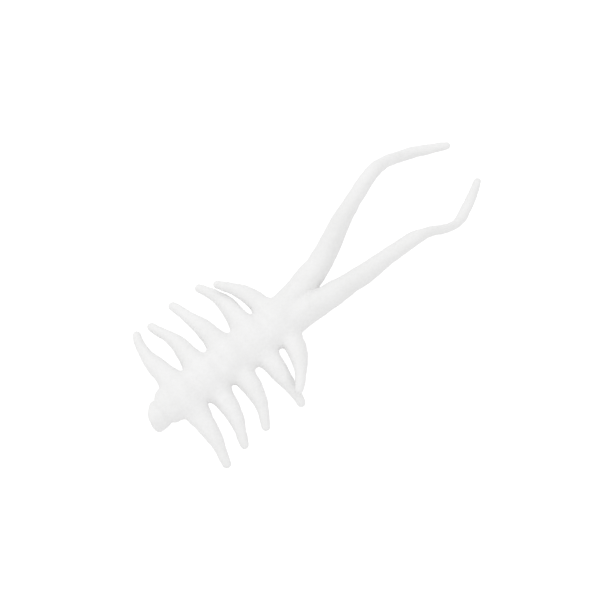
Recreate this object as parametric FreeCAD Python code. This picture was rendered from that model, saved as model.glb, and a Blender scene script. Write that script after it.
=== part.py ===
import FreeCAD, Part
import os, math

# Many-legged soft creature, one soft white moulding drawn as its sections.
# Millimetres. The origin is the centre of the flat end of the head knob, +X runs along
# the body to the two long arms, +Y is the creature's left, +Z is up. The belly is flat.

# ---- driving dimensions -------------------------------------------------------------
KNOB_R = 3.8            # head knob, radius
KNOB_LEN = 4.2          # head knob, length along X
KNOB_EDGE = 1.2         # rounding of the knob's edges
KNOB_SLANT = 40.0       # degrees: the slanting flat that cuts off the knob's left corner
KNOB_SLANT_OFF = 0.35   # distance of that flat from the origin
NECK_R_Y, NECK_R_Z = 4.4, 3.5
NECK_END = 5.4          # end of the firm part of the neck
NECK_FLEX_END = 6.8     # end of the soft ring behind the neck
VALLEYS = [14.5, 22.0, 29.5, 37.0]      # X of the four valleys between the lobes
BODY_END = 44.5         # X where the fifth lobe meets the shoulder block
FLEX_W = 1.2            # width of the soft ring at each valley
VALLEY_A, VALLEY_B = 5.8, 4.9           # half width and half height at a valley
LOBE_A, LOBE_B = 6.7, 5.4               # half width and half height at a lobe
BELLY_Z = -4.7          # height of the flat belly
LEG_R = [3.0, 2.75, 2.4, 1.95, 1.42, 1.2, 0.9]      # leg radius, body side to tip
LEG_ROOT_Y = 7.8        # distance from the middle line at which a leg's soft root starts
LEG_ROOT_LEN = 2.0      # length of the soft root along the leg
LEG_STUB_R = 2.3        # radius at which a leg starts inside its lobe
ARM_R = {               # arm radius, fork to tip
    "left": [3.35, 3.25, 3.1, 2.95, 2.8, 2.7, 2.55, 2.35, 2.1, 1.95, 1.9, 1.85, 1.65,
             1.5, 1.45, 1.42, 1.35, 1.4, 1.35, 1.25, 1.12, 0.98, 0.7],
    "right": [3.3, 3.1, 2.95, 2.8, 2.7, 2.65, 2.45, 2.25, 2.1, 1.98, 1.95, 1.8, 1.45,
              1.25, 1.15, 1.1, 1.1, 1.2, 1.2, 1.2, 1.1, 0.98, 0.75],
}
SHOULDER = {"left": (4.2, 6.2), "right": (6.1, 8.1)}    # soft part of the shoulder, along the arm
ELBOW_POINT, ELBOW_HALF = 12, 1.0       # arm path point at the elbow, half length of its soft part
WRIST_POINT, WRIST_HALF = 16, 0.8       # the same for the wrist

# Centre lines, from the body outwards.
LEG_PATH = {
    "left_1": [(10.51, 5.36, -0.2), (10.36, 7.91, -0.09), (10.07, 10.52, -0.18), (9.92, 13.23, -0.45), (10.13, 16.02, -0.91), (10.79, 18.88, -1.56), (11.87, 21.73, -2.4)],
    "right_1": [(10.51, -5.8, -0.2), (10.27, -8.42, -0.09), (10.04, -10.96, -0.18), (9.7, -13.42, -0.45), (9.21, -15.8, -0.91), (8.61, -18.1, -1.56), (8.05, -20.35, -2.4)],
    "left_2": [(17.9, 5.61, -0.2), (17.85, 8.09, -0.09), (17.93, 10.71, -0.18), (17.68, 13.31, -0.45), (16.98, 15.86, -0.91), (16.08, 18.43, -1.56), (15.61, 21.23, -2.4)],
    "right_2": [(17.82, -4.81, -0.2), (17.62, -7.5, -0.09), (17.33, -10.12, -0.18), (16.79, -12.61, -0.45), (15.98, -14.98, -0.91), (14.99, -17.24, -1.56), (14.06, -19.43, -2.4)],
    "left_3": [(25.54, 5.67, -0.1), (25.4, 8.28, 0.07), (25.07, 10.92, 0.06), (24.63, 13.61, -0.15), (24.13, 16.35, -0.54), (23.59, 19.17, -1.13), (23, 22.06, -1.9)],
    "right_3": [(25.35, -4.09, -0.1), (24.99, -6.9, 0.07), (24.7, -9.67, 0.06), (24.18, -12.31, -0.15), (23.31, -14.79, -0.54), (22.12, -17.1, -1.13), (20.82, -19.24, -1.9)],
    "left_4": [(33.23, 5.7, -0.2), (33.44, 8.32, -0.17), (33.62, 11.04, -0.33), (33.52, 13.79, -0.7), (33.03, 16.54, -1.27), (32.18, 19.25, -2.03), (31.16, 21.92, -3)],
    "right_4": [(32.73, -4.79, -0.2), (32.64, -7.51, -0.17), (32.46, -10.14, -0.33), (32.34, -12.71, -0.7), (32.27, -15.22, -1.27), (32.16, -17.68, -2.03), (31.75, -20.05, -3)],
    "left_5": [(40.2, 4.69, 0), (39.89, 7.1, 0.52), (39.33, 9.51, 1.02), (38.42, 11.78, 1.5), (37.13, 13.85, 1.96), (35.58, 15.76, 2.39), (33.99, 17.62, 2.8)],
    "right_5": [(40.36, -4.56, 0), (39.76, -7.27, 0.52), (38.79, -9.83, 1.02), (37.46, -12.2, 1.5), (35.8, -14.36, 1.96), (33.92, -16.31, 2.39), (31.97, -18.08, 2.8)],
}
ARM_PATH = {
    "left": [(52.2, 3.2, 2.56), (54.8, 3.64, 3.32), (57.31, 4.17, 4.31), (59.66, 4.83, 5.6), (61.88, 5.58, 7.11),
             (64.02, 6.33, 8.77), (66.11, 7.04, 10.51), (68.23, 7.66, 12.24), (70.43, 8.18, 13.83), (72.69, 8.7, 15.24),
             (75.04, 9.3, 16.42), (77.56, 10.01, 17.15), (80.24, 10.7, 17.1), (82.92, 11.19, 16.14), (85.65, 11.48, 14.5),
             (88.39, 11.55, 12.72), (90.95, 11.34, 11.37), (93.25, 10.83, 10.69), (95.32, 10.04, 10.5), (97.24, 9.07, 10.5),
             (99.09, 8.02, 10.59), (100.88, 6.92, 10.8), (102.64, 5.82, 11.14)],
    "right": [(50.31, -3.19, 2.56), (52.9, -3.74, 3.32), (55.42, -4.28, 4.31), (57.85, -4.87, 5.6), (60.18, -5.6, 7.11),
             (62.44, -6.37, 8.77), (64.68, -7.03, 10.51), (66.92, -7.58, 12.24), (69.17, -8.11, 13.83), (71.47, -8.65, 15.24),
             (73.82, -9.17, 16.42), (76.3, -9.71, 17.15), (78.79, -10.31, 17.1), (81.17, -10.92, 16.14), (83.63, -11.39, 14.5),
             (86.23, -11.7, 12.72), (88.81, -11.62, 11.37), (91.23, -10.96, 10.69), (93.46, -10.03, 10.5), (95.6, -9.07, 10.5),
             (97.67, -8.06, 10.59), (99.65, -6.98, 10.8), (101.52, -5.81, 11.14)],
}

os.makedirs("parts", exist_ok=True)
V = FreeCAD.Vector


def save(shape, name):
    shape = shape.removeSplitter() if shape.ShapeType != "Solid" else shape
    solids = shape.Solids
    assert solids and all(s.isValid() and s.isClosed() for s in solids), name
    shape.exportStep("parts/%s.step" % name)
    print("%-26s %d solid  %8.1f mm3" % (name, len(solids), sum(s.Volume for s in solids)))


def sub(a, b): return tuple(x - y for x, y in zip(a, b))
def norm(a):
    n = math.sqrt(sum(x * x for x in a))
    return tuple(x / n for x in a)


class Path:
    """A smooth curve through points, measured by its length, with a radius at each point."""

    def __init__(self, points, radii):
        self.p, self.r = points, radii
        n = len(points)
        self.tan = [tuple((points[min(i + 1, n - 1)][k] - points[max(i - 1, 0)][k])
                          / (min(i + 1, n - 1) - max(i - 1, 0)) for k in range(3)) for i in range(n)]
        self.table = [(0.0, 0.0)]
        last, s = points[0], 0.0
        for j in range(1, (n - 1) * 20 + 1):
            q = self.at(j / 20.0)
            s += math.sqrt(sum((a - b) ** 2 for a, b in zip(q, last)))
            self.table.append((s, j / 20.0))
            last = q
        self.length = s

    def at(self, u):
        i = min(int(u), len(self.p) - 2)
        t = u - i
        h = (2 * t ** 3 - 3 * t ** 2 + 1, t ** 3 - 2 * t ** 2 + t, -2 * t ** 3 + 3 * t ** 2, t ** 3 - t ** 2)
        return tuple(h[0] * self.p[i][k] + h[1] * self.tan[i][k]
                     + h[2] * self.p[i + 1][k] + h[3] * self.tan[i + 1][k] for k in range(3))

    def u_of(self, s):
        for (s0, u0), (s1, u1) in zip(self.table, self.table[1:]):
            if s <= s1:
                return u0 + (u1 - u0) * (s - s0) / (s1 - s0)
        return self.table[-1][1]

    def s_of(self, u):
        return self.table[int(round(u * 20))][0]

    def point(self, s): return self.at(self.u_of(s))

    def direction(self, s):
        a, b = max(s - 0.05, 0.0), min(s + 0.05, self.length)
        return norm(sub(self.point(b), self.point(a)))

    def radius(self, s):
        u = self.u_of(s)
        i = min(int(u), len(self.r) - 2)
        return self.r[i] + (self.r[i + 1] - self.r[i]) * (u - i)


def root_span(path):
    """Where a leg's soft root starts and ends, along the leg."""
    s = next(s for s, u in path.table if abs(path.at(u)[1]) >= LEG_ROOT_Y)
    return s, s + LEG_ROOT_LEN


def ring(path, s, r=None):
    """A circle across the path. Every ring starts at its top, so a loft doesn't twist."""
    z = V(*path.direction(s))
    y = z.cross(V(0, 0, 1)).normalize()
    c = Part.makeCircle(r or path.radius(s))
    c.Placement = FreeCAD.Placement(V(*path.point(s)), FreeCAD.Rotation(y.cross(z), y, z, "ZXY"))
    return Part.Wire([c])


def limb(path, s0, s1, tip=False, step=1.6):
    """A round solid along the path. A tip ends in a rounded nose."""
    end = s1 - (path.radius(path.length) if tip else 0.0)
    n = max(2, int(math.ceil((end - s0) / step)))
    wires = [ring(path, s0 + (end - s0) * k / n) for k in range(n + 1)]
    if tip:
        rt = path.radius(end)
        for deg in (28, 52, 72):
            a = math.radians(deg)
            wires.append(ring(path, end + (s1 - end) * math.sin(a), rt * math.cos(a)))
    solid = Part.makeLoft(wires, True, False)
    return solid.Solids[0] if solid.Solids else solid


def oval(x, a, b):
    """An upright oval in the plane X = x."""
    big, small, xdir = (a, b, V(0, 1, 0)) if a >= b else (b, a, V(0, 0, 1))
    e = Part.Ellipse(V(x, 0, 0), big, small)
    ax = V(1, 0, 0)
    e2 = Part.Ellipse(V(x, 0, 0) + xdir * big, V(x, 0, 0) + ax.cross(xdir) * small, V(x, 0, 0))
    return Part.Wire([e2.toShape()])


BELLY_CUT = Part.makeBox(140, 80, 30, V(-20, -40, BELLY_Z - 30))


def barrel(sections):
    return Part.makeLoft([oval(*s) for s in sections], True, False).cut(BELLY_CUT)


legs = {k: Path(p, LEG_R) for k, p in LEG_PATH.items()}
arms = {k: Path(p, ARM_R[k]) for k, p in ARM_PATH.items()}
joints = []

# ---- head knob and neck -------------------------------------------------------------
knob = Part.makeCylinder(KNOB_R, KNOB_LEN, V(0, 0, 0), V(1, 0, 0))
rims = [e for e in knob.Edges if e.Curve.TypeId == "Part::GeomCircle"]
knob = knob.makeFillet(KNOB_EDGE, rims)
corner = Part.makeBox(10, 20, 20, V(-10 - KNOB_SLANT_OFF, -10, -10))
corner.rotate(V(0, 0, 0), V(0, 0, 1), -KNOB_SLANT)
knob = knob.cut(corner)
save(knob, "head_knob")
save(barrel([(KNOB_LEN, 3.3, 3.1), (KNOB_LEN + 0.5, 4.0, 3.3), (NECK_END, NECK_R_Y, NECK_R_Z)]), "neck")
save(barrel([(NECK_END, NECK_R_Y, NECK_R_Z), (6.1, 4.65, 3.7), (NECK_FLEX_END, 4.85, 3.9)]), "neck_flex")
joints.append(("neck_bend", (0.5 * (NECK_END + NECK_FLEX_END), 0, 0), (0, 1, 0)))

# ---- body: five lobes with a soft ring in each valley -------------------------------
half = FLEX_W / 2
starts = [NECK_FLEX_END] + [v + half for v in VALLEYS]
ends = [v - half for v in VALLEYS] + [BODY_END]
for i in range(5):
    x0, x1 = starts[i], ends[i]
    n = str(i + 1)
    if i == 0:
        sec = [(x0, 4.85, 3.9), (8.2, 5.6, 4.6), (10.4, LOBE_A - 0.1, LOBE_B - 0.1), (12.4, LOBE_A - 0.3, LOBE_B - 0.2)]
    else:
        w = x1 - x0
        sec = [(x0, VALLEY_A, VALLEY_B), (x0 + 0.3 * w, LOBE_A - 0.12, LOBE_B - 0.1),
               (x0 + 0.5 * w, LOBE_A, LOBE_B), (x0 + 0.72 * w, LOBE_A - 0.15, LOBE_B - 0.12)]
    sec.append((x1, VALLEY_A, VALLEY_B))
    body = barrel(sec)
    for side in ("left_", "right_"):
        path = legs[side + n]
        s1 = root_span(path)[0]
        rs = [LEG_STUB_R + (path.radius(s1) - LEG_STUB_R) * t for t in (0.0, 0.34, 0.67, 1.0)]
        body = body.fuse(Part.makeLoft([ring(path, s1 * k / 3.0, r) for k, r in enumerate(rs)], True, False))
    save(body.Solids[0], "body_segment_" + n)
for i, v in enumerate(VALLEYS):
    save(barrel([(v - half, VALLEY_A, VALLEY_B), (v, VALLEY_A - 0.12, VALLEY_B - 0.08), (v + half, VALLEY_A, VALLEY_B)]),
         "spine_flex_%d%d" % (i + 1, i + 2))
    joints.append(("body_bend_%d%d" % (i + 1, i + 2), (v, 0, 0), (0, 1, 0) if v < 28 else (0, -1, 0)))

# ---- legs ---------------------------------------------------------------------------
for k, path in legs.items():
    s0, s1 = root_span(path)
    save(limb(path, s0, s1), "leg_root_" + k)
    save(limb(path, s1, path.length, tip=True), "leg_" + k)
    m = 0.5 * (s0 + s1)
    d = path.direction(m)
    joints.append(("leg_%s_lift" % k, path.point(m), norm((d[1], -d[0], 0.0))))

# ---- shoulder block: the body narrows and splits into the two arms ------------------
block = barrel([(BODY_END, VALLEY_A, VALLEY_B), (46.6, 5.9, 4.9), (49.0, 5.6, 4.7), (51.2, 4.9, 4.2), (52.4, 3.6, 3.2)])
for side, path in arms.items():
    y = 1.0 if side == "left" else -1.0
    stub = Path([(45.6, 1.9 * y, 0.3), (48.2, 2.5 * y, 1.0)] + [p for p in ARM_PATH[side] if p[0] > 51.5][:3],
                [2.6, 3.0] + [r for r, p in zip(ARM_R[side], ARM_PATH[side]) if p[0] > 51.5][:3])
    s_root = SHOULDER[side][0]
    wires = [ring(stub, stub.length * t) for t in (0.0, 0.2, 0.4)]
    wires += [ring(path, s) for s in (s_root - 2.2, s_root - 1.1, s_root)]
    block = block.fuse(Part.makeLoft(wires, True, False))
save(block.cut(BELLY_CUT).Solids[0], "shoulder_block")

# ---- arms ---------------------------------------------------------------------------
for side, path in arms.items():
    cuts = [SHOULDER[side]]
    for point, h in ((ELBOW_POINT, ELBOW_HALF), (WRIST_POINT, WRIST_HALF)):
        s = path.s_of(point)
        cuts.append((s - h, s + h))
    names = ("shoulder", "elbow", "wrist")
    for (a, b), nm in zip(cuts, names):
        save(limb(path, a, b, step=0.7), "arm_%s_%s_flex" % (side, nm))
    save(limb(path, cuts[0][1], cuts[1][0]), "arm_%s_upper" % side)
    save(limb(path, cuts[1][1], cuts[2][0]), "arm_%s_fore" % side)
    save(limb(path, cuts[2][1], path.length, tip=True), "arm_%s_tip" % side)
    for (a, b), nm in zip(cuts, names):
        m = 0.5 * (a + b)
        d0, d1 = path.direction(a - 1.5), path.direction(b + 1.5)
        d = path.direction(m)
        if nm == "wrist":
            ax = (d0[1] * d1[2] - d0[2] * d1[1], d0[2] * d1[0] - d0[0] * d1[2], d0[0] * d1[1] - d0[1] * d1[0])
        else:
            ax = (d[1], -d[0], 0.0)
        joints.append(("arm_%s_%s" % (side, nm), path.point(m), norm(ax)))

for name, pos, ax in joints:
    print("JOINT %s %.3f %.3f %.3f %.4f %.4f %.4f" % ((name,) + tuple(pos) + tuple(ax)))
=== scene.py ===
import math
import bpy, bmesh
import numpy as np
from mathutils import Matrix, Vector
from mathutils.geometry import tessellate_polygon


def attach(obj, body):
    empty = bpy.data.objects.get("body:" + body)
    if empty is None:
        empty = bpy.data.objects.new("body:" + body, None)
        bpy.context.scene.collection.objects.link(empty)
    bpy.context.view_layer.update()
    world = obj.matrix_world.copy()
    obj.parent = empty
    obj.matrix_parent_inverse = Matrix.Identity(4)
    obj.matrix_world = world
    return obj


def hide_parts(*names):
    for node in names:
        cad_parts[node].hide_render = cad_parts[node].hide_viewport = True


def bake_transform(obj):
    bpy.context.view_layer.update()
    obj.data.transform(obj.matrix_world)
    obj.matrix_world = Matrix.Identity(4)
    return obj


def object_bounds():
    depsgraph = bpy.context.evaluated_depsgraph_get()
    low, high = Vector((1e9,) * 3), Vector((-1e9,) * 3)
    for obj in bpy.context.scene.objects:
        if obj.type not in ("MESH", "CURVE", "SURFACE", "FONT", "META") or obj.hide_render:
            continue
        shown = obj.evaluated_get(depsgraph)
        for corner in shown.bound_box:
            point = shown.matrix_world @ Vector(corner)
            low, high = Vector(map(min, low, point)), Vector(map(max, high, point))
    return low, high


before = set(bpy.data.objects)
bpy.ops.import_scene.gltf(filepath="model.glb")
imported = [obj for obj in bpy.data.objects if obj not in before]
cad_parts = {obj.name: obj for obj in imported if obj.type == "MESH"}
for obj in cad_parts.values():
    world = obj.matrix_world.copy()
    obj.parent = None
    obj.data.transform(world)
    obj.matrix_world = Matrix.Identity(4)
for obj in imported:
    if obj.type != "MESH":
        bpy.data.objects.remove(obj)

# A many-legged soft creature, one soft white moulding. The skin is one closed surface around
# the body, legs and arms, then divided at places that move with one body only, so that every
# piece lies across at most one joint and its edges lie on its neighbours' edges.
# Lengths in the skin maths are millimetres; the meshes are metres.

cad_low, cad_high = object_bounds()
MM = 0.001

# ---- camera: high above, from the creature's right and its head end ------------------
LENS = 70.0
AZ, EL = math.radians(-40.0), math.radians(68.0)
CAM_AT = (-0.022388, -0.083421, 0.27333)
right = Vector((math.cos(AZ), math.sin(AZ), 0.0))
up = Vector((-math.sin(AZ) * math.sin(EL), math.cos(AZ) * math.sin(EL), math.cos(EL)))
back = Vector((math.sin(AZ) * math.cos(EL), -math.cos(AZ) * math.cos(EL), math.sin(EL)))
cam_data = bpy.data.cameras.new("camera")
cam_data.lens = LENS
cam_data.sensor_width = 36.0
cam_data.clip_start = 0.01
cam_data.dof.use_dof = False
cam = bpy.data.objects.new("camera", cam_data)
m = Matrix((right, up, back)).transposed().to_4x4()
m.translation = Vector(CAM_AT)
cam.matrix_world = m
bpy.context.collection.objects.link(cam)
bpy.context.scene.camera = cam

# ---- centre lines (mm) ---------------------------------------------------------------
LEG_PATH = {
    "left_1": [(10.51, 5.36, -0.2), (10.36, 7.91, -0.09), (10.07, 10.52, -0.18), (9.92, 13.23, -0.45), (10.13, 16.02, -0.91), (10.79, 18.88, -1.56), (11.87, 21.73, -2.4)],
    "right_1": [(10.51, -5.8, -0.2), (10.27, -8.42, -0.09), (10.04, -10.96, -0.18), (9.7, -13.42, -0.45), (9.21, -15.8, -0.91), (8.61, -18.1, -1.56), (8.05, -20.35, -2.4)],
    "left_2": [(17.9, 5.61, -0.2), (17.85, 8.09, -0.09), (17.93, 10.71, -0.18), (17.68, 13.31, -0.45), (16.98, 15.86, -0.91), (16.08, 18.43, -1.56), (15.61, 21.23, -2.4)],
    "right_2": [(17.82, -4.81, -0.2), (17.62, -7.5, -0.09), (17.33, -10.12, -0.18), (16.79, -12.61, -0.45), (15.98, -14.98, -0.91), (14.99, -17.24, -1.56), (14.06, -19.43, -2.4)],
    "left_3": [(25.54, 5.67, -0.1), (25.4, 8.28, 0.07), (25.07, 10.92, 0.06), (24.63, 13.61, -0.15), (24.13, 16.35, -0.54), (23.59, 19.17, -1.13), (23, 22.06, -1.9)],
    "right_3": [(25.35, -4.09, -0.1), (24.99, -6.9, 0.07), (24.7, -9.67, 0.06), (24.18, -12.31, -0.15), (23.31, -14.79, -0.54), (22.12, -17.1, -1.13), (20.82, -19.24, -1.9)],
    "left_4": [(33.23, 5.7, -0.2), (33.44, 8.32, -0.17), (33.62, 11.04, -0.33), (33.52, 13.79, -0.7), (33.03, 16.54, -1.27), (32.18, 19.25, -2.03), (31.16, 21.92, -3)],
    "right_4": [(32.73, -4.79, -0.2), (32.64, -7.51, -0.17), (32.46, -10.14, -0.33), (32.34, -12.71, -0.7), (32.27, -15.22, -1.27), (32.16, -17.68, -2.03), (31.75, -20.05, -3)],
    "left_5": [(40.2, 4.69, 0), (39.89, 7.1, 0.52), (39.33, 9.51, 1.02), (38.42, 11.78, 1.5), (37.13, 13.85, 1.96), (35.58, 15.76, 2.39), (33.99, 17.62, 2.8)],
    "right_5": [(40.36, -4.56, 0), (39.76, -7.27, 0.52), (38.79, -9.83, 1.02), (37.46, -12.2, 1.5), (35.8, -14.36, 1.96), (33.92, -16.31, 2.39), (31.97, -18.08, 2.8)],
}
ARM_PATH = {
    "left": [(52.2, 3.2, 2.56), (54.8, 3.64, 3.32), (57.31, 4.17, 4.31), (59.66, 4.83, 5.6), (61.88, 5.58, 7.11),
             (64.02, 6.33, 8.77), (66.11, 7.04, 10.51), (68.23, 7.66, 12.24), (70.43, 8.18, 13.83), (72.69, 8.7, 15.24),
             (75.04, 9.3, 16.42), (77.56, 10.01, 17.15), (80.24, 10.7, 17.1), (82.92, 11.19, 16.14), (85.65, 11.48, 14.5),
             (88.39, 11.55, 12.72), (90.95, 11.34, 11.37), (93.25, 10.83, 10.69), (95.32, 10.04, 10.5), (97.24, 9.07, 10.5),
             (99.09, 8.02, 10.59), (100.88, 6.92, 10.8), (102.64, 5.82, 11.14)],
    "right": [(50.31, -3.19, 2.56), (52.9, -3.74, 3.32), (55.42, -4.28, 4.31), (57.85, -4.87, 5.6), (60.18, -5.6, 7.11),
             (62.44, -6.37, 8.77), (64.68, -7.03, 10.51), (66.92, -7.58, 12.24), (69.17, -8.11, 13.83), (71.47, -8.65, 15.24),
             (73.82, -9.17, 16.42), (76.3, -9.71, 17.15), (78.79, -10.31, 17.1), (81.17, -10.92, 16.14), (83.63, -11.39, 14.5),
             (86.23, -11.7, 12.72), (88.81, -11.62, 11.37), (91.23, -10.96, 10.69), (93.46, -10.03, 10.5), (95.6, -9.07, 10.5),
             (97.67, -8.06, 10.59), (99.65, -6.98, 10.8), (101.52, -5.81, 11.14)],
}
LEG_R = {
    "left_1": [2.85, 2.6, 2.36, 1.92, 1.48, 1.28, 0.98], "right_1": [2.8, 2.52, 2.24, 1.86, 1.47, 1.26, 0.98],
    "left_2": [2.85, 2.58, 2.24, 1.82, 1.44, 1.26, 0.98], "right_2": [2.85, 2.6, 2.32, 1.96, 1.52, 1.28, 0.98],
    "left_3": [2.88, 2.62, 2.32, 1.92, 1.52, 1.36, 1.05], "right_3": [2.88, 2.68, 2.4, 1.98, 1.5, 1.28, 0.98],
    "left_4": [2.92, 2.68, 2.4, 2.0, 1.55, 1.36, 1.05], "right_4": [2.92, 2.7, 2.42, 1.98, 1.5, 1.28, 1.0],
    "left_5": [2.88, 2.62, 2.34, 1.95, 1.5, 1.3, 1.0], "right_5": [2.92, 2.7, 2.42, 1.96, 1.48, 1.26, 0.98],
}
ARM_R = {
    "left": [3.35, 3.28, 3.16, 3.02, 2.88, 2.78, 2.62, 2.43, 2.18, 2.03, 1.98, 1.97, 1.83,
             1.68, 1.58, 1.52, 1.48, 1.52, 1.48, 1.4, 1.26, 1.12, 0.88],
    "right": [3.3, 3.15, 3.0, 2.83, 2.7, 2.62, 2.46, 2.28, 2.14, 2.02, 1.96, 1.76, 1.42,
              1.28, 1.22, 1.2, 1.26, 1.4, 1.38, 1.36, 1.26, 1.14, 0.92],
}
SIDES = ("left", "right")
VALLEYS = [14.5, 22.0, 29.5, 37.0]
TRUNK_CUTS = [10.65, 18.25, 25.75, 33.25, 40.75]
BELLY_Z = -4.7
SKIN_OUT = -0.035        # how far outside the limbs' own radii the skin stands
LEG_CUT_Y, LEG_ZONE_Y, LEG_ZONE_LEN = 7.45, 7.8, 2.2       # where a leg's skin starts, and the span set down for its bend
SHOULDER = {"left": (4.2, 6.2), "right": (6.1, 8.1)}
ELBOW_POINT, ELBOW_HALF = 12, 1.0
WRIST_POINT, WRIST_HALF = 16, 0.8


def smooth_line(points, per):
    """Points along the smooth curve through points, per of them to a span, with their parameter."""
    P = np.array(points, float)
    n = len(P)
    T = np.array([(P[min(i + 1, n - 1)] - P[max(i - 1, 0)]) / (min(i + 1, n - 1) - max(i - 1, 0)) for i in range(n)])
    u = np.arange((n - 1) * per + 1) / per
    i = np.minimum(u.astype(int), n - 2)
    t = (u - i)[:, None]
    return ((2 * t ** 3 - 3 * t ** 2 + 1) * P[i] + (t ** 3 - 2 * t ** 2 + t) * T[i]
            + (-2 * t ** 3 + 3 * t ** 2) * P[i + 1] + (t ** 3 - t ** 2) * T[i + 1]), u


class Limb:
    def __init__(self, points, radii, per=4, trim=True):
        line, u = smooth_line([tuple(p) + (r,) for p, r in zip(points, radii)], per)
        self.q, self.r = line[:, :3].copy(), line[:, 3].copy()
        self.s = np.r_[0.0, np.cumsum(np.linalg.norm(np.diff(self.q, axis=0), axis=1))]
        self.length = self.s[-1]
        self.knot = self.s[::per]
        if trim:                              # the round end reaches the last point
            end = self.length - self.r[-1]
            keep = self.s < end - 0.2
            tip = np.array([np.interp(end, self.s, self.q[:, k]) for k in range(3)])
            self.q = np.vstack([self.q[keep], tip])
            self.r = np.r_[self.r[keep], np.interp(end, self.s, self.r)]
            self.s = np.r_[self.s[keep], end]
        self.low = (self.q - self.r[:, None]).min(0)
        self.high = (self.q + self.r[:, None]).max(0)

    def at(self, s):
        return np.array([np.interp(s, self.s, self.q[:, k]) for k in range(3)])

    def direction(self, s):
        d = self.at(min(s + 0.15, self.s[-1])) - self.at(max(s - 0.15, 0.0))
        return d / np.linalg.norm(d)

    def distance(self, P, reach=2.4):
        """Distance from the limb's surface, for points P. Points further off than reach get a large one."""
        best = np.full(len(P), 1e3)
        for i in range(0, len(self.q) - 1, 6):
            q, r = self.q[i:i + 7], self.r[i:i + 7]
            low, high = (q - r[:, None]).min(0) - reach, (q + r[:, None]).max(0) + reach
            near = np.nonzero(np.all((P > low) & (P < high), axis=1))[0]
            if not len(near):
                continue
            Q, part = P[near], np.full(len(near), 1e3)
            for a, b, ra, rb in zip(q[:-1], q[1:], r[:-1], r[1:]):
                d = b - a
                w = Q - a
                t = np.clip(w @ d / (d @ d), 0.0, 1.0)
                w = w - t[:, None] * d
                np.minimum(part, np.sqrt(np.einsum("ij,ij->i", w, w)) - (ra + (rb - ra) * t), out=part)
            best[near] = np.minimum(best[near], part)
        return best


legs = {k: Limb(p, LEG_R[k]) for k, p in LEG_PATH.items()}
arms = {k: Limb(p, ARM_R[k]) for k, p in ARM_PATH.items()}

# the arms' thick roots inside the shoulder, and a rib across the back from leg to leg
roots = {}
for side in SIDES:
    y = 1.0 if side == "left" else -1.0
    first = [p for p in ARM_PATH[side] if p[0] > 51.9][:2]
    rr = [r for r, p in zip(ARM_R[side], ARM_PATH[side]) if p[0] > 51.9][:2]
    roots[side] = Limb([(40.5, 1.3 * y, 0.0), (44.5, 1.8 * y, 0.3), (48.3, 2.45 * y, 1.2)] + first,
                       [3.9, 4.05, 3.75] + rr, trim=False)
ribs = []
for i in range(1, 6):
    a, b = np.array(LEG_PATH["left_%d" % i][0]), np.array(LEG_PATH["right_%d" % i][0])
    mid = 0.5 * (a + b)
    mid[2] = 1.6
    q1, q2 = 0.5 * (a + mid), 0.5 * (b + mid)
    q1[2] = q2[2] = 1.05
    ribs.append(Limb([tuple(a), tuple(q1), tuple(mid), tuple(q2), tuple(b)], [2.75, 3.3, 3.65, 3.3, 2.75], per=4, trim=False))

CORE = np.array([   # x, middle y, half width, half height above, below
    (2.4, 0.1, 2.2, 2.0, 2.0), (4.2, 0.25, 3.5, 2.9, 2.9), (5.2, 0.4, 4.4, 3.4, 3.6), (6.4, 0.45, 4.8, 3.8, 4.0),
    (7.6, 0.3, 4.95, 4.0, 4.3), (9.0, 0.1, 5.1, 4.15, 4.7), (11.0, 0.1, 5.3, 4.25, 4.9), (14.5, 0.12, 5.3, 4.0, 4.9),
    (18.2, 0.05, 5.4, 4.2, 4.9), (22.0, 0.05, 5.55, 4.05, 4.9), (25.7, 0.05, 5.6, 4.25, 4.9), (29.5, 0.05, 5.75, 4.1, 4.9),
    (33.2, 0.05, 5.6, 4.25, 4.9), (37.0, 0.0, 5.65, 4.1, 4.9), (41.0, 0.2, 5.7, 4.2, 4.9), (44.0, 0.45, 5.55, 4.1, 4.8),
    (46.5, 0.35, 4.85, 3.7, 4.3), (48.5, 0.1, 3.4, 2.8, 3.2), (49.6, 0.0, 2.2, 1.9, 2.2)])
s_core, _ = smooth_line(CORE, 6)


def smin(a, b, k):
    h = np.maximum(k - np.abs(a - b), 0.0) / k
    return np.minimum(a, b) - h * h * k * 0.25


def core(P):
    x, y, z = P.T
    y = y - np.interp(x, s_core[:, 0], s_core[:, 1])
    a = np.interp(x, s_core[:, 0], s_core[:, 2])
    b = np.where(z > 0, np.interp(x, s_core[:, 0], s_core[:, 3]), np.interp(x, s_core[:, 0], s_core[:, 4]))
    q = np.sqrt((y / a) ** 2 + (z / b) ** 2) + 1e-9
    f = (q - 1.0) * q / (np.sqrt((y / a ** 2) ** 2 + (z / b ** 2) ** 2) + 1e-9)
    over = np.maximum(np.maximum(CORE[0, 0] - x, x - CORE[-1, 0]), 0.0)
    return np.where(over > 0, np.sqrt(np.maximum(f, 0.0) ** 2 + over ** 2), f)


def knob(P):
    """A round disc with soft edges, one corner cut off slantwise: the blunt head."""
    e = 1.25
    rad = np.sqrt((P[:, 1] - 0.15) ** 2 + P[:, 2] ** 2)
    dx = np.abs(P[:, 0] - 2.1) - (2.1 - e)
    dr = rad - (3.7 - e)
    disc = np.sqrt(np.maximum(dx, 0) ** 2 + np.maximum(dr, 0) ** 2) + np.minimum(np.maximum(dx, dr), 0) - e
    slant = -0.766 * P[:, 0] + 0.643 * P[:, 1] - 0.12
    return -smin(-disc, -slant, 0.9)


rng = np.random.RandomState(7)
LATTICE = rng.uniform(-1.0, 1.0, (32, 32, 32))


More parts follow.
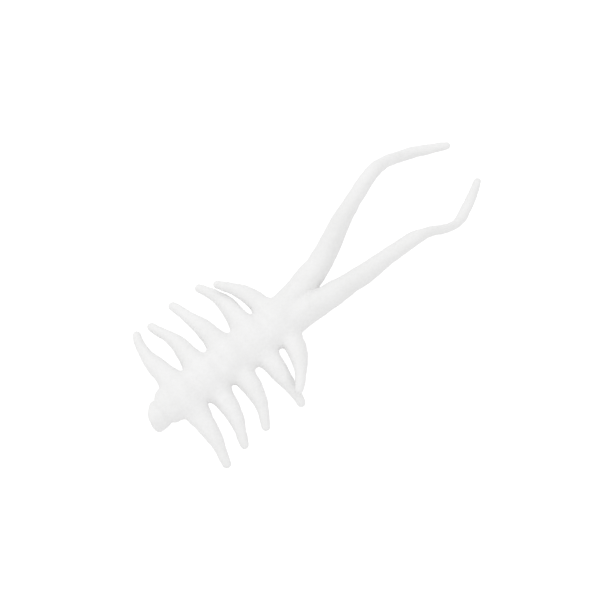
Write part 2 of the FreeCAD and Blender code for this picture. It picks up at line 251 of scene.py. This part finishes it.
def noise(P, size):
    """Smooth lumps of about the given size, from -1 to 1."""
    g = P / size + 100.0
    i = np.floor(g).astype(int)
    t = g - i
    t = t * t * t * (t * (t * 6 - 15) + 10)
    i &= 31
    j = (i + 1) & 31
    out = 0.0
    for cx, wx in ((i[:, 0], 1 - t[:, 0]), (j[:, 0], t[:, 0])):
        for cy, wy in ((i[:, 1], 1 - t[:, 1]), (j[:, 1], t[:, 1])):
            for cz, wz in ((i[:, 2], 1 - t[:, 2]), (j[:, 2], t[:, 2])):
                out = out + wx * wy * wz * LATTICE[cx, cy, cz]
    return out


BODY = [(core, np.array([1.8, -6, -6.0]), np.array([50.5, 6, 6.0]), 1.2),
        (knob, np.array([-0.5, -4.5, -4.5]), np.array([4.8, 4.5, 4.5]), 1.0)]
BODY += [(r.distance, r.low, r.high, 1.1) for r in ribs]
BODY += [(roots[k].distance, roots[k].low, roots[k].high, 1.0) for k in SIDES]
BODY += [(arms[k].distance, arms[k].low, arms[k].high, 0.7) for k in SIDES]


def sdf(P):
    """The creature's surface is where this is 0 (mm)."""
    body = np.full(len(P), 6.0)
    for f, low, high, k in BODY:
        near = np.all((P > low - 2.2) & (P < high + 2.2), axis=1)
        if near.any():
            body[near] = smin(body[near], f(P[near]), k)
    d = body.copy()
    for leg in legs.values():           # each leg joins the body with a fillet, and hardly another leg
        near = np.nonzero(np.all((P > leg.low - 2.2) & (P < leg.high + 2.2), axis=1))[0]
        if len(near):
            base, old = body[near], d[near]
            joined = smin(base, leg.distance(P[near]), 1.15)
            k = 0.3 * np.clip(np.minimum(base - old, base - joined) / 0.15, 0.0, 1.0) + 1e-6
            d[near] = smin(old, joined, k)
    d -= SKIN_OUT
    near = d < 1.5
    Q = P[near]
    n = 0.10 * noise(Q, 2.3) + 0.06 * noise(Q + 7.7, 1.25)
    flat = np.clip((Q[:, 2] - BELLY_Z) / 0.8, 0.0, 1.0)            # no lumps on the flat belly
    dn = d[near] - n * flat
    floor = BELLY_Z - Q[:, 2]
    d[near] = -smin(-dn, -floor, 0.7)
    return d


def gradient(P, e=0.05):
    g = np.zeros_like(P)
    for o in ((1, 1, 1), (1, -1, -1), (-1, 1, -1), (-1, -1, 1)):
        o = np.array(o, float)
        g += sdf(P + e * o)[:, None] * o / (4 * e)
    return g


def net(step, shift):
    """Quads on a grid round the surface, and whether every edge has two faces."""
    low = np.array([-1.2, -22.5, -5.9]) - shift * step
    high = np.array([104.2, 23.6, 20.6])
    c = np.ceil((high - low) / (4 * step)).astype(int) + 1          # a coarse grid first
    C = np.stack(np.meshgrid(*[low[k] + 4 * step * np.arange(c[k]) for k in range(3)], indexing="ij"), -1)
    C = sdf(C.reshape(-1, 3)).reshape(c)
    low_c = np.full(c - 1, 1e3)
    for i in (0, 1):
        for j in (0, 1):
            for k in (0, 1):
                low_c = np.minimum(low_c, np.abs(C[i:i + c[0] - 1, j:j + c[1] - 1, k:k + c[2] - 1]))
    n = 4 * (c - 1) + 1
    D = np.repeat(np.repeat(np.repeat(C, 4, 0), 4, 1), 4, 2)[2:2 + n[0], 2:2 + n[1], 2:2 + n[2]].astype(np.float32)
    todo = np.zeros(n, bool)
    active = low_c < 3.8 * step
    for i in range(5):
        for j in range(5):
            for k in range(5):
                todo[i:i + n[0] - 4 + (i == 4) * 0:4, j:j + n[1] - 4:4, k:k + n[2] - 4:4] |= active
    idx = np.argwhere(todo)
    D[tuple(idx.T)] = sdf(low + step * idx)
    inside = D < 0
    while True:                            # where two corners touch only across a square, fill a third
        fill = np.zeros(n, bool)
        for p in range(3):
            q = (p + 1) % 3
            lo, hi = slice(0, -1), slice(1, None)
            pick = lambda i, j: tuple((i if k == p else j if k == q else slice(None)) for k in range(3))
            a, b, c, d = (inside[pick(lo, lo)], inside[pick(hi, lo)], inside[pick(lo, hi)], inside[pick(hi, hi)])
            fill[pick(hi, lo)] |= a & d & ~b & ~c
            fill[pick(lo, lo)] |= b & c & ~a & ~d
        if not fill.any():
            break
        D[fill] = -1e-3 * step
        inside |= fill
    corners = [(i, j, k) for i in (0, 1) for j in (0, 1) for k in (0, 1)]
    m = n - 1
    take = lambda A, c: A[c[0]:c[0] + m[0], c[1]:c[1] + m[1], c[2]:c[2] + m[2]]
    count = sum(take(inside, c).astype(np.int8) for c in corners)
    cells = np.argwhere((count > 0) & (count < 8))
    index = np.full(m, -1, np.int64)
    index[tuple(cells.T)] = np.arange(len(cells))
    total = np.zeros((len(cells), 3))
    hits = np.zeros(len(cells))
    for a in range(8):
        for b in range(a + 1, 8):
            ca, cb = np.array(corners[a]), np.array(corners[b])
            if np.abs(ca - cb).sum() != 1:
                continue
            da, db = D[tuple((cells + ca).T)], D[tuple((cells + cb).T)]
            cross = (da < 0) != (db < 0)
            t = np.where(cross, da / np.where(da == db, 1, da - db), 0.0)
            total += np.where(cross[:, None], ca + t[:, None] * (cb - ca), 0.0)
            hits += cross
    V = low + step * (cells + total / hits[:, None])
    faces = []
    for k in range(3):
        o = np.zeros(3, int)
        o[k] = 1
        A = inside[:n[0] - o[0], :n[1] - o[1], :n[2] - o[2]]
        B = inside[o[0]:, o[1]:, o[2]:]
        e = np.argwhere(A != B)
        p, q = [(1, 2), (2, 0), (0, 1)][k]
        dp, dq = np.zeros(3, int), np.zeros(3, int)
        dp[p], dq[q] = 1, 1
        quad = np.stack([index[tuple((e - dp - dq).T)], index[tuple((e - dq).T)], index[tuple(e.T)], index[tuple((e - dp).T)]], 1)
        flip = ~A[tuple(e.T)]
        quad[flip] = quad[flip][:, ::-1]
        faces.append(quad)
    F = np.vstack(faces)
    e = np.sort(np.vstack([F[:, [0, 1]], F[:, [1, 2]], F[:, [2, 3]], F[:, [3, 0]]]), axis=1)
    return V, F, bool(np.all(np.unique(e[:, 0] * len(V) + e[:, 1], return_counts=True)[1] == 2))


def surface(step):
    """A quad mesh of the surface, by dual cells on a grid, moved onto the surface exactly."""
    for shift in (0.0, 0.37, 0.71, 0.19, 0.53, 0.89):
        V, F, good = net(step, shift)
        if good:
            break
    g = gradient(V)
    for _ in range(3):
        V -= np.clip(sdf(V) / np.maximum((g * g).sum(1), 0.25), -0.3 * step, 0.3 * step)[:, None] * g
    # even out the quads, along the surface only
    e = np.vstack([F[:, [0, 1]], F[:, [1, 2]], F[:, [2, 3]], F[:, [3, 0]]])
    e = np.vstack([e, e[:, ::-1]])
    deg = np.bincount(e[:, 0], minlength=len(V))[:, None]
    for turn in range(4):
        mean = np.stack([np.bincount(e[:, 0], V[e[:, 1], k], minlength=len(V)) for k in range(3)], 1) / deg
        if turn % 2 == 0:
            g = gradient(V)
            g /= np.linalg.norm(g, axis=1)[:, None]
        move = 0.5 * (mean - V)
        V += move - (move * g).sum(1)[:, None] * g
        V -= np.clip(sdf(V), -0.1, 0.1)[:, None] * g
    return V, F


# ---- where the skin is divided (mm) --------------------------------------------------
Cut = lambda name, point, normal, region: dict(name=name, point=np.array(point, float), normal=np.array(normal, float), region=region)


def leg_region(side, i):
    """Near the plane across the legs of one side, and nearer to this leg than to the others."""
    y = 1.0 if side == "left" else -1.0
    xs = np.array([leg_x[side, k] for k in range(1, 6)])
    return lambda C: ((np.abs(y * C[:, 1] - LEG_CUT_Y) < 1.0) & (np.abs(C[:, 0] - xs[i - 1]) < 5.0)
                      & (np.abs(C[:, 0][:, None] - xs).argmin(1) == i - 1))


def arm_region(point, radius):
    return lambda C: np.linalg.norm(C - point, axis=1) < radius


def trunk_region(x):
    return lambda C: (np.abs(C[:, 0] - x) < 1.0) & (np.abs(C[:, 1]) < LEG_CUT_Y + 1e-3)


leg_x = {}
for side in SIDES:
    for i in range(1, 6):
        leg = legs["%s_%d" % (side, i)]
        s = np.interp(LEG_CUT_Y, np.abs(leg.q[:, 1]), leg.s)
        leg_x[side, i] = leg.at(s)[0]
cuts = []
for side in SIDES:
    y = 1.0 if side == "left" else -1.0
    for i in range(1, 6):
        cuts.append(Cut("leg_%s_%d" % (side, i), (leg_x[side, i], y * LEG_CUT_Y, 0), (0, y, 0), leg_region(side, i)))
arm_s = {}                # where each arm is divided, along its centre line
for side in SIDES:
    arm = arms[side]
    elbow, wrist = arm.knot[ELBOW_POINT], arm.knot[WRIST_POINT]
    flex = [SHOULDER[side], (elbow - ELBOW_HALF, elbow + ELBOW_HALF), (wrist - WRIST_HALF, wrist + WRIST_HALF)]
    at = [SHOULDER[side][0] - 0.4, 0.5 * (flex[0][1] + flex[1][0]), 0.5 * (flex[1][1] + flex[2][0])]
    arm_s[side] = (at, flex)
    for n, s in zip(("upper", "fore", "tip"), at):
        p = arm.at(s)
        cuts.append(Cut("arm_%s_%s" % (side, n), p, arm.direction(s), arm_region(p, np.interp(s, arm.s, arm.r) + 1.0)))
for k, x in enumerate(TRUNK_CUTS):
    cuts.append(Cut("trunk_%d" % (k + 1), (x, 0, 0), (1, 0, 0), trunk_region(x)))

# ---- the skin, cut -------------------------------------------------------------------
V, F = surface(0.3)
bm = bmesh.new()
made = [bm.verts.new(v) for v in V.tolist()]
for f in F.tolist():
    bm.faces.new([made[i] for i in f])
bm.normal_update()
for c in cuts:
    faces = list(bm.faces)
    near = np.nonzero(c["region"](np.array([f.calc_center_median() for f in faces])))[0]
    geom = [faces[i] for i in near]
    corners = list({v for f in geom for v in f.verts})
    co, no = Vector(c["point"].tolist()), Vector(c["normal"].tolist())
    for v in corners:                     # no slivers: a corner close to the plane goes onto it
        d = (v.co - co).dot(no)
        if abs(d) < 0.035:
            v.co -= d * no
    geom = list({e for f in geom for e in f.edges}) + corners + geom
    bmesh.ops.bisect_plane(bm, geom=geom, dist=0.001, plane_co=co, plane_no=no)
bm.verts.ensure_lookup_table()
bm.verts.index_update()
bm.faces.ensure_lookup_table()
V = np.array([v.co for v in bm.verts])
faces = [[v.index for v in f.verts] for f in bm.faces]
bm.free()

# which cut every edge lies on, if any
sides_of = {}
for n, f in enumerate(faces):
    for a, b in zip(f, f[1:] + f[:1]):
        sides_of.setdefault((a, b) if a < b else (b, a), []).append(n)
if any(len(v) != 2 for v in sides_of.values()):
    raise SystemExit("the skin isn't closed")
E = np.array(list(sides_of))
mid = 0.5 * (V[E[:, 0]] + V[E[:, 1]])
on_cut = np.full(len(E), -1)
for k, c in enumerate(cuts):
    d = np.abs((V - c["point"]) @ c["normal"])
    on_cut[(d[E[:, 0]] < 0.0012) & (d[E[:, 1]] < 0.0012) & c["region"](mid)] = k
cut_of = {tuple(e): int(k) for e, k in zip(E.tolist(), on_cut.tolist())}

parent = list(range(len(faces)))


def find(a):
    while parent[a] != a:
        parent[a] = parent[parent[a]]
        a = parent[a]
    return a


for e, (a, b) in sides_of.items():
    if cut_of[e] < 0:
        ra, rb = find(a), find(b)
        if ra != rb:
            parent[ra] = rb
group = np.array([find(n) for n in range(len(faces))])
centre = np.array([V[f].mean(0) for f in faces])

# ---- the pieces ----------------------------------------------------------------------
# name: a point on it, the two bodies of the joint it lies across and the span set down for the bend (or one body it
# rides), the nodes it stands for
plan = {}
plan["skin_head"] = dict(seed=(2.5, 0, 4), blend=("head", "body_segment_1", (5.4, 0, 0), (6.8, 0, 0)),
                         nodes=["head_knob", "neck", "neck_flex"])
windows = [(13.4, 14.65), (21.0, 22.0), (28.5, 29.7), (36.3, 37.0)]
for k in range(4):
    a, b = windows[k]
    nodes = ["body_segment_%d" % (k + 1), "spine_flex_%d%d" % (k + 1, k + 2)]
    plan["skin_body_%d" % (k + 1)] = dict(seed=(0.5 * (TRUNK_CUTS[k] + TRUNK_CUTS[k + 1]), 0, 5),
                                          blend=("body_segment_%d" % (k + 1), "body_segment_%d" % (k + 2), (a, 0, 0), (b, 0, 0)),
                                          nodes=nodes)
plan["skin_body_5"] = dict(seed=(46, 0, 5), ride="body_segment_5", nodes=["body_segment_5", "shoulder_block"])
for side in SIDES:
    for i in range(1, 6):
        k = "%s_%d" % (side, i)
        leg = legs[k]
        s = np.interp(LEG_ZONE_Y, np.abs(leg.q[:, 1]), leg.s)
        plan["skin_leg_" + k] = dict(seed=leg.q[-1] + np.array([0, 0, 0.8]),
                                     blend=("body_segment_%d" % i, "leg_" + k, leg.at(s), leg.at(s + LEG_ZONE_LEN)),
                                     nodes=["leg_" + k, "leg_root_" + k])
    arm, (at, flex) = arms[side], arm_s[side]
    chain = ["body_segment_5", "arm_%s_upper" % side, "arm_%s_fore" % side, "arm_%s_tip" % side]
    for j, (n, bend) in enumerate((("upper", "shoulder"), ("fore", "elbow"), ("tip", "wrist"))):
        s = 0.5 * (at[j] + (at[j + 1] if j < 2 else arm.length)) + (1.5 if j == 0 else 0.0)
        plan["skin_arm_%s_%s" % (side, n)] = dict(
            seed=arm.at(s) + np.array([0, 0, np.interp(s, arm.s, arm.r)]),
            blend=(chain[j], chain[j + 1], arm.at(flex[j][0]), arm.at(flex[j][1])),
            nodes=["arm_%s_%s" % (side, n), "arm_%s_%s_flex" % (side, bend)])
for p in plan.values():
    p["group"] = group[np.linalg.norm(centre - np.array(p["seed"], float), axis=1).argmin()]
named = {p["group"] for p in plan.values()}
for turn in range(4):                     # a sliver between two cut edges goes with its neighbour
    for a, b in sides_of.values():
        if group[a] not in named and group[b] in named:
            group[a] = group[b]
        elif group[b] not in named and group[a] in named:
            group[b] = group[a]
if len(set(p["group"] for p in plan.values())) != len(plan) or len(set(group.tolist())) != len(plan):
    raise SystemExit("the cuts made %d regions, %d of them named, for %d pieces"
                     % (len(set(group.tolist())), len(named), len(plan)))

normals = gradient(V)
normals /= np.linalg.norm(normals, axis=1)[:, None]


def caps(mine):
    """The flat faces that close a piece where it was cut."""
    there = {(a, b) for f in mine for a, b in zip(f, f[1:] + f[:1])}
    onward = {}
    for a, b in there:
        if (b, a) not in there:
            onward.setdefault(cut_of[(a, b) if a < b else (b, a)], {})[b] = a
    out = []
    for k, nxt in onward.items():
        loops, chains = [], []
        left = dict(nxt)
        ends = set(nxt.values())
        for start in [a for a in nxt if a not in ends]:
            line = [start]
            while line[-1] in left:
                line.append(left.pop(line[-1]))
            chains.append(line)
        while left:
            line = [next(iter(left))]
            while line[-1] in left:
                line.append(left.pop(line[-1]))
            loops.append(line[:-1])
        if cuts[k]["name"].startswith("trunk") and chains:
            loops.append([v for line in chains for v in line])
        else:
            loops += chains
        for line in loops:
            P = V[line]
            n = sum(np.cross(P[i] - P[0], P[(i + 1) % len(P)] - P[0]) for i in range(len(P)))
            for t in tessellate_polygon([[Vector(p) for p in P.tolist()]]):
                a, b, c = (line[i] for i in t)
                if np.cross(V[b] - V[a], V[c] - V[a]) @ n < 0:
                    b, c = c, b
                out.append(([a, b, c], n / np.linalg.norm(n)))
    return out


def build(name, p, material):
    mine = [faces[i] for i in np.nonzero(group == p["group"])[0]]
    ends = caps(mine)
    every = []
    loop_normals = []
    for f in mine:
        every.append(f)
        loop_normals += [tuple(normals[i]) for i in f]
    for f, n in ends:
        every.append(f)
        loop_normals += [tuple(n)] * 3
    there = {}
    for f in every:
        for a, b in zip(f, f[1:] + f[:1]):
            there[a, b] = there.get((a, b), 0) + 1
    if any(n != 1 or there.get((b, a)) != 1 for (a, b), n in there.items()):
        raise SystemExit("%s isn't closed" % name)
    used = sorted({i for f in every for i in f})
    new = {i: n for n, i in enumerate(used)}
    me = bpy.data.meshes.new(name)
    me.from_pydata((V[used] * MM).tolist(), [], [[new[i] for i in f] for f in every])
    me.polygons.foreach_set("use_smooth", [True] * len(every))
    me.normals_split_custom_set(loop_normals)
    me.materials.append(material)
    me.update()
    ob = bpy.data.objects.new(name, me)
    bpy.context.collection.objects.link(ob)
    return ob


# ---- material: soft white moulded plastic, matt with a faint satin, lightly lumpy ----
def soft_white():
    mat = bpy.data.materials.new("soft_white_skin")
    mat.use_nodes = True
    nt = mat.node_tree
    nt.nodes.clear()
    N = lambda kind, **kw: [n := nt.nodes.new(kind), [setattr(n, k, v) for k, v in kw.items()]][0]
    link = nt.links.new
    out = N("ShaderNodeOutputMaterial")
    bsdf = N("ShaderNodeBsdfPrincipled")
    bsdf.inputs["IOR"].default_value = 1.45
    bsdf.inputs["Specular IOR Level"].default_value = 0.35
    bsdf.inputs["Sheen Weight"].default_value = 0.12
    bsdf.inputs["Sheen Roughness"].default_value = 0.5
    link(bsdf.outputs[0], out.inputs["Surface"])
    where = N("ShaderNodeTexCoord")

    def noise_tex(scale, detail, rough=0.5):
        n = N("ShaderNodeTexNoise")
        n.inputs["Scale"].default_value = scale
        n.inputs["Detail"].default_value = detail
        n.inputs["Roughness"].default_value = rough
        link(where.outputs["Object"], n.inputs["Vector"])
        return n

    # colour: white, with broad faint warm and cool clouds and fine paler and darker flecks
    clouds = noise_tex(90.0, 3.0)
    ramp = N("ShaderNodeValToRGB")
    ramp.color_ramp.elements[0].position, ramp.color_ramp.elements[0].color = 0.32, (0.852, 0.851, 0.848, 1)
    ramp.color_ramp.elements[1].position, ramp.color_ramp.elements[1].color = 0.68, (0.88, 0.878, 0.879, 1)
    link(clouds.outputs["Fac"], ramp.inputs["Fac"])
    flecks = noise_tex(1500.0, 2.0, 0.6)
    fleck_ramp = N("ShaderNodeValToRGB")
    fleck_ramp.color_ramp.elements[0].position, fleck_ramp.color_ramp.elements[0].color = 0.30, (0.975, 0.975, 0.972, 1)
    fleck_ramp.color_ramp.elements[1].position, fleck_ramp.color_ramp.elements[1].color = 0.62, (1, 1, 1, 1)
    link(flecks.outputs["Fac"], fleck_ramp.inputs["Fac"])
    mix = N("ShaderNodeMix", data_type="RGBA", blend_type="MULTIPLY")
    mix.inputs[0].default_value = 1.0
    link(ramp.outputs["Color"], mix.inputs[6])
    link(fleck_ramp.outputs["Color"], mix.inputs[7])
    link(mix.outputs[2], bsdf.inputs["Base Color"])

    # roughness: satin where it is smooth, duller where the grain is coarse
    patches = noise_tex(260.0, 4.0)
    spread = N("ShaderNodeMapRange")
    spread.inputs["From Min"].default_value, spread.inputs["From Max"].default_value = 0.3, 0.7
    spread.inputs["To Min"].default_value, spread.inputs["To Max"].default_value = 0.50, 0.68
    link(patches.outputs["Fac"], spread.inputs["Value"])
    link(spread.outputs["Result"], bsdf.inputs["Roughness"])

    # surface: fine mould grain over soft dimples
    dimples = noise_tex(520.0, 2.0)
    grain = noise_tex(4200.0, 3.0, 0.6)
    bump1 = N("ShaderNodeBump")
    bump1.inputs["Strength"].default_value = 0.45
    bump1.inputs["Distance"].default_value = 0.00016
    link(dimples.outputs["Fac"], bump1.inputs["Height"])
    bump2 = N("ShaderNodeBump")
    bump2.inputs["Strength"].default_value = 0.35
    bump2.inputs["Distance"].default_value = 0.00003
    link(grain.outputs["Fac"], bump2.inputs["Height"])
    link(bump1.outputs["Normal"], bump2.inputs["Normal"])
    link(bump2.outputs["Normal"], bsdf.inputs["Normal"])
    return mat


skin = soft_white()
for name, p in plan.items():
    ob = build(name, p, skin)
    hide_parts(*p["nodes"])
    if "ride" in p:
        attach(ob, p["ride"])
    else:
        a, b, start, end = p["blend"]
        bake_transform(ob)

# ---- floor, light, background --------------------------------------------------------
floor_mesh = bpy.data.meshes.new("floor")
half, z = 0.6, cad_low[2]
floor_mesh.from_pydata([(-half + 0.05, -half, z), (half + 0.05, -half, z), (half + 0.05, half, z), (-half + 0.05, half, z)], [], [(0, 1, 2, 3)])
floor = bpy.data.objects.new("floor", floor_mesh)
bpy.context.collection.objects.link(floor)
pale = bpy.data.materials.new("pale_floor")
pale.use_nodes = True
shader = pale.node_tree.nodes["Principled BSDF"]
shader.inputs["Base Color"].default_value = (0.25, 0.25, 0.25, 1)
shader.inputs["Roughness"].default_value = 0.9
shader.inputs["Specular IOR Level"].default_value = 0.1
shader.inputs["Emission Color"].default_value = (1, 1, 1, 1)
seen = pale.node_tree.nodes.new("ShaderNodeLightPath")       # a pale floor that is seen white
glow = pale.node_tree.nodes.new("ShaderNodeMapRange")
glow.inputs["To Min"].default_value, glow.inputs["To Max"].default_value = 0.66, 0.92
pale.node_tree.links.new(seen.outputs["Is Camera Ray"], glow.inputs["Value"])
pale.node_tree.links.new(glow.outputs["Result"], shader.inputs["Emission Strength"])
floor_mesh.materials.append(pale)


def area(name, at, target, size, power):
    light = bpy.data.lights.new(name, "AREA")
    light.shape = "SQUARE"
    light.size = size
    light.energy = power
    ob = bpy.data.objects.new(name, light)
    ob.location = at
    ob.rotation_mode = "QUATERNION"
    ob.rotation_quaternion = (Vector(target) - Vector(at)).to_track_quat("-Z", "Y")
    bpy.context.collection.objects.link(ob)


area("key", (-0.10, 0.42, 0.40), (0.05, 0.0, 0.0), 0.35, 0.32)
world = bpy.data.worlds.new("soft_white_room")
world.use_nodes = True
sky = world.node_tree
ray = sky.nodes.new("ShaderNodeTexCoord")
part = sky.nodes.new("ShaderNodeSeparateXYZ")
rise = sky.nodes.new("ShaderNodeMapRange")                   # softly brighter towards the top
rise.inputs["From Min"].default_value, rise.inputs["From Max"].default_value = 0.0, 1.0
rise.inputs["To Min"].default_value, rise.inputs["To Max"].default_value = 0.82, 1.05
seen = sky.nodes.new("ShaderNodeLightPath")
mixed = sky.nodes.new("ShaderNodeMix")
mixed.inputs[3].default_value = 1.0
sky.links.new(ray.outputs["Generated"], part.inputs[0])
sky.links.new(part.outputs["Z"], rise.inputs["Value"])
sky.links.new(seen.outputs["Is Camera Ray"], mixed.inputs[0])
sky.links.new(rise.outputs["Result"], mixed.inputs[2])
sky.links.new(mixed.outputs[0], sky.nodes["Background"].inputs["Strength"])
sky.nodes["Background"].inputs["Color"].default_value = (1, 1, 1, 1)
bpy.context.scene.world = world
bpy.context.scene.view_settings.view_transform = "Standard"
bpy.context.scene.view_settings.look = "None"
